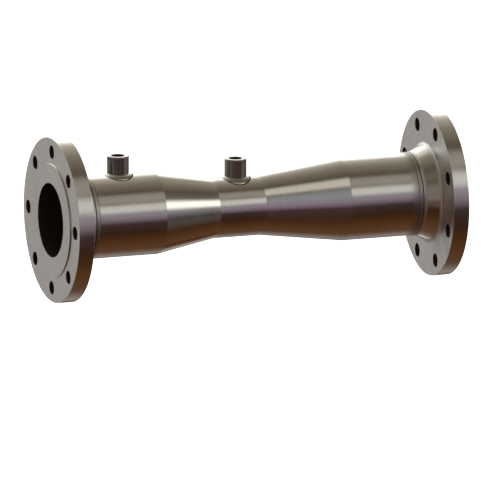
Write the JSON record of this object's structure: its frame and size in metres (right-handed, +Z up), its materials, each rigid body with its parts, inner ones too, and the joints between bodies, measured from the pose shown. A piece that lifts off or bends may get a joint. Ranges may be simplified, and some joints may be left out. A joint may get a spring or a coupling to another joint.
{
  "type": "venturi tube",
  "caption": "Welded steel venturi tube with raised-face weld-neck flanges, a converging cone, a narrow throat, a diverging cone and upright pressure taps.",
  "frame": {"origin": "centre of the inlet flange's raised face, on the flow axis", "axes": "+X along the flow from inlet to outlet, +Z up along the pressure taps"},
  "size_m": [0.572, 0.2286, 0.2286],
  "materials": {
    "flange_steel": "machined, satin",
    "run_steel": "turned and polished",
    "weld_metal": "weld bead, brushed",
    "nipple_steel": "turned, dark"
  },
  "bodies": {
    "root": {"inlet_flange": "flange_steel", "inlet_flange_weld": "weld_metal", "inlet_cylinder": "run_steel", "convergent_entry_weld": "weld_metal", "convergent_cone": "run_steel", "throat_entry_weld": "weld_metal", "throat": "run_steel", "throat_exit_weld": "weld_metal", "divergent_cone": "run_steel", "divergent_exit_weld": "weld_metal", "outlet_cylinder": "run_steel", "outlet_flange_weld": "weld_metal", "outlet_flange": "flange_steel", "high_tap_nipple": "nipple_steel", "high_tap_weld": "weld_metal", "low_tap_nipple": "nipple_steel", "low_tap_weld": "weld_metal"}
  },
  "joints": []
}
